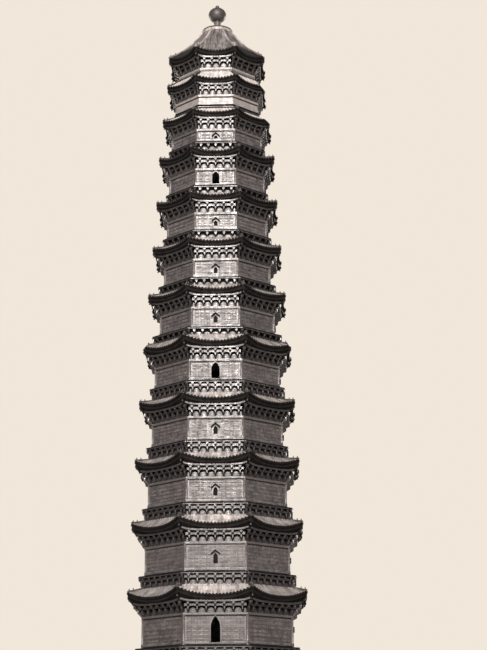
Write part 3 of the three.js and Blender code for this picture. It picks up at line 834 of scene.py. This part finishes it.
# The top roof's tiles and ridges turn black below 5.21 m on every side but the front: painted shade.
peak_tile = masonry("peak_tile", (0.27, 0.25, 0.235, 1), (0.01, 0.009, 0.0085, 1),
                    0.044, 5.6, 0.0006, 0.5, soot=0.9, glaze=1.3, black_to=5.21)
peak_ridge = masonry("peak_ridge", (0.50, 0.455, 0.42, 1), (0.10, 0.09, 0.084, 1),
                     0.05, 0.03, 0.0004, 0.4, soot=0.5, black_to=5.21)
bell_iron = masonry("bell_iron", (0.05, 0.045, 0.042, 1), (0.02, 0.018, 0.017, 1),
                    0.05, 0.05, 0.0, 0.55, soot=0.4)
bells = []
for number in range(1, 14):
    row = number - 1
    foot, reach = eave_foot[row], bracket_reach[row]
    name = f"storey_{number}_eave" if number < 13 else "top_roof"
    # The eave's body, with the wall panel behind the brackets and the soffit, is near-black: painted
    # shade.
    make_piece(f"{name}_body", broken_off(number, [eave_core(row)], 0.0), dark_tile_and_shade,
               smooth=30, replaces=(name,))
    make_piece(f"{name}_brackets",
               bracket_belt(wall[row] + 3, int(bays[row]), foot, (30, 20, 37, 57, 50, 64),
                            (0.5 * reach, reach - 3)) + [purlin(row)],
               bracket_glaze)
    rows, along, out, up = tile_rows(row)
    ridge, beam = corner_ridge(row)
    beasts, bell = corner_trim(row)
    bells += broken_off(number, [bell])
    tile = roof_tile if number < 11 else bleached_tile if number < 13 else peak_tile
    make_piece(f"{name}_tiles", broken_off(number, [pan_tiles(row), rows]), tile,
               smooth=50)
    make_piece(f"{name}_ridges", broken_off(number, [ridge] + beasts),
               ridge_tile if row < roof_row else peak_ridge, smooth=50)
    edge_parts = tile_ends(along, out, up) + [rafter_ends(row), beam]
    make_piece(f"{name}_edge", broken_off(number, edge_parts), dark_tile_and_shade, smooth=30)
make_piece("corner_bells", bells, bell_iron, smooth=40)

# The balconies
# Each balcony is a ledge of glazed brick round the storey, carried on a belt of brackets like the
# eave's, lower ones in the upper storeys. Its slab runs in under the wall as the room's floor.


def eight_sided_slab(half, low, high):
    """A flat eight-sided slab between two heights."""
    corner = half / cosine
    levels = np.array([[corner, 0, low], [corner, 0, high]])
    return closed_drum(np.moveaxis(eightfold(levels, 22.5), 0, 1))


rims = []
for number in range(2, 14):
    row = number - 1
    half, foot = skirt_head(row)
    room = round(wall[row - 1] * room_share)
    full, edge = deck[row], ledge[row]
    name = f"storey_{number}_balcony"
    if belt[row] == 0:
        parts = [eight_sided_slab(edge, foot, full)]
    else:
        lip = full - 16
        # The core behind the balcony's brackets is near-black: painted shade seen through the gaps.
        core = octagon_ring([[room, foot], [half, foot], [half, lip + 1], [room, lip + 1]])
        make_piece(f"{name}_core", [core], dark_tile_and_shade, replaces=(name,))
        parts = [octagon_ring([[room, lip], [edge - 4, lip], [edge, lip + 1.5], [edge, lip + 6],
                               [edge - 5, lip + 7], [edge - 5, full], [room, full]]),
                 eight_sided_slab(room + 1, full - 12, full)]
        # A near-black ring at the ledge's upper edge: a painted shadow line.
        rims.append(octagon_ring([[edge - 7, lip + 7.5], [edge - 2.5, lip + 7.5],
                                  [edge - 1.5, full - 1], [edge - 7, full - 1]]))
    if belt[row] == two_tiers:
        parts += bracket_belt(half, int(bays[row]), foot, (27, 19, 37, 57, 52, 67), (12.0, 24.0))
    elif belt[row] == one_tier:
        parts += bracket_belt(half, int(bays[row]), foot, (17, 17, 36), (19.0,))
    make_piece(f"{name}_belt", parts, bracket_glaze, replaces=(name,))
    # A near-black ring round the wall's foot on the deck: a painted contact shadow.
    rims.append(octagon_ring([[wall[row] - 3, full], [wall[row] + 3, full],
                              [wall[row] + 3, full + 12], [wall[row] - 3, full + 12]]))
make_piece("balcony_dark_rims", rims, dark_tile_and_shade)

# The roof cap
# A low drum of cast metal that closes the top of the roof, bleached on its side, with a dark rolled
# rim and a dark, nearly flat crown.

cap_metal = masonry("cap_metal", (0.50, 0.46, 0.42, 1), (0.16, 0.145, 0.135, 1),
                    0.06, 0.2, 0.0, 0.42, soot=0.6)
rim_metal = masonry("rim_metal", (0.06, 0.054, 0.05, 1), (0.02, 0.018, 0.017, 1),
                    0.09, 0.2, 0.0, 0.45, soot=0.5, glaze=1.4)
drum_levels = [[96, 5330], [104, 5332], [109, 5336], [111.5, 5341], [111.5, 5353], [110, 5359],
               [100, 5362]]
crown_levels = [[104, 5356], [110, 5357], [112.5, 5360.5], [112.5, 5364], [110, 5367.5],
                [105, 5369.5], [96, 5373], [83, 5377], [70, 5381], [56, 5385], [46, 5388]]
make_piece("roof_cap_drum", [closed_drum(turned(drum_levels, 64)[None])], cap_metal,
           smooth=40, replaces=("roof_cap",))
make_piece("roof_cap_crown", [closed_drum(turned(crown_levels, 64)[None])], rim_metal,
           smooth=40, replaces=("roof_cap",))

# The finial
# A hollow bronze ball, a little wider than high, on a short neck with a spread foot. It is darkened
# by weather and carries a low knob.

ball_bronze = masonry("ball_bronze", (0.06, 0.054, 0.05, 1), (0.015, 0.0135, 0.0128, 1),
                      0.2, 0.2, 0.0, 0.42, soot=0.7, glaze=1.7)
neck_metal = masonry("neck_metal", (0.16, 0.145, 0.135, 1), (0.06, 0.054, 0.05, 1),
                     0.2, 0.2, 0.0, 0.4, soot=0.5)
ball_radius, ball_half_height, ball_middle = 65, 57, 5498
turn = np.linspace(-math.acos(25 / ball_radius), math.acos(16 / ball_radius), 26)
ball = np.stack([ball_radius * np.cos(turn), ball_middle + ball_half_height * np.sin(turn)], -1)
ball_levels = [[20, 5440], [24, 5442], *ball.tolist(), [14.5, 5557], [14.5, 5561], [15, 5565],
               [13, 5570], [8.5, 5575], [4, 5578.5]]
neck_levels = [[42, 5387], [42, 5389], [36, 5393], [29, 5398], [26, 5404], [24, 5412], [24, 5424],
               [27, 5430], [27, 5435], [24, 5438], [22, 5446]]
make_piece("finial_neck", [closed_drum(turned(neck_levels, 32)[None])], neck_metal,
           smooth=40, replaces=("finial_ball",))
make_piece("finial_ball_turned", [closed_drum(turned(ball_levels, 48)[None])],
           ball_bronze, smooth=40, replaces=("finial_ball",))

# The studio
# A pale level floor under the tower and an even pale sky, both brighter to the camera than to the
# tower, one tall lamp in front and above, two weak wide ones behind, and the camera on the ground
# some way off, looking up as the photograph does.

pale_floor = bpy.data.materials.new("pale_floor")
pale_floor.use_nodes = True
floor_tree = pale_floor.node_tree
mottle = wired(floor_tree, "ShaderNodeTexNoise", {
    "Vector": wired(floor_tree, "ShaderNodeTexCoord").outputs["Object"], "Scale": 3.0}).outputs[0]
floor_shader = floor_tree.nodes["Principled BSDF"]
floor_tone = blended(floor_tree, mottle, (0.70, 0.65, 0.59, 1), (0.75, 0.70, 0.63, 1))
seen = wired(floor_tree, "ShaderNodeLightPath").outputs["Is Camera Ray"]
floor_tree.links.new(blended(floor_tree, seen, floor_tone, (0.22, 0.203, 0.182, 1)),
                     floor_shader.inputs["Base Color"])
floor_tree.links.new(floor_tone, floor_shader.inputs["Emission Color"])
floor_tree.links.new(between(floor_tree, seen, 0, 1, 0.0, 0.88),
                     floor_shader.inputs["Emission Strength"])
floor_shader.inputs["Roughness"].default_value = 0.9
floor_mesh = bpy.data.meshes.new("studio_floor")
far = 500
floor_mesh.from_pydata([[-far, -far, -0.001], [far, -far, -0.001], [far, far, -0.001],
                        [-far, far, -0.001]], [], [[0, 1, 2, 3]])
floor_mesh.materials.append(pale_floor)
placed("studio_floor", floor_mesh)

world = bpy.data.worlds.new("pale_sky")
world.use_nodes = True
bpy.context.scene.world = world
sky = world.node_tree.nodes["Background"]
ray = wired(world.node_tree, "ShaderNodeLightPath").outputs["Is Camera Ray"]
world.node_tree.links.new(between(world.node_tree, ray, 0, 1, 0.215, 1.0), sky.inputs["Strength"])
world.node_tree.links.new(blended(world.node_tree, ray, (0.83, 0.775, 0.92, 1),
                                  (0.88, 0.80, 0.70, 1)), sky.inputs["Color"])
bpy.context.scene.view_settings.view_transform = "Standard"


def lamp(name, spot, aim, size, power):
    """An area lamp of a size in metres, width and height, turned to aim at a point."""
    data = bpy.data.lights.new(name, "AREA")
    data.shape = "RECTANGLE"
    data.size, data.size_y = size
    data.energy = power
    data.color = (1.0, 0.92, 0.88)
    made = placed(name, data)
    made.location = spot
    line = np.subtract(aim, spot)
    flat = math.hypot(line[0], line[1])
    made.rotation_euler = (math.pi / 2 + math.atan2(line[2], flat), 0,
                           math.atan2(line[1], line[0]) - math.pi / 2)


lamp("front_lamp", (-0.5, -14.0, 9.2), (0, 0, 3.6), (4.0, 10.5), 4050)
for hand, x in (("left", -10.0), ("right", 10.0)):
    lamp(f"{hand}_back_lamp", (x, 12.0, 6.5), (0, 0, 2.6), (10.0, 6.0), 1500)

camera = placed("camera", bpy.data.cameras.new("camera"))
bpy.context.scene.camera = camera
sensor, focal_pixels, picture_pixels = 36.0, 1596, 650
camera.data.sensor_width = sensor
camera.data.sensor_fit = "AUTO"
camera.data.lens = sensor * focal_pixels / picture_pixels
swung = Matrix.Rotation(math.radians(1.406), 4, "Z")
pitched = Matrix.Rotation(math.radians(90 + 15.38), 4, "X")
rolled = Matrix.Rotation(math.radians(-0.374), 4, "Z")
camera.matrix_world = Matrix.Translation((0.4426, -10.766, 0.16)) @ swung @ pitched @ rolled
camera.data.clip_start, camera.data.clip_end = 0.1, 300.0
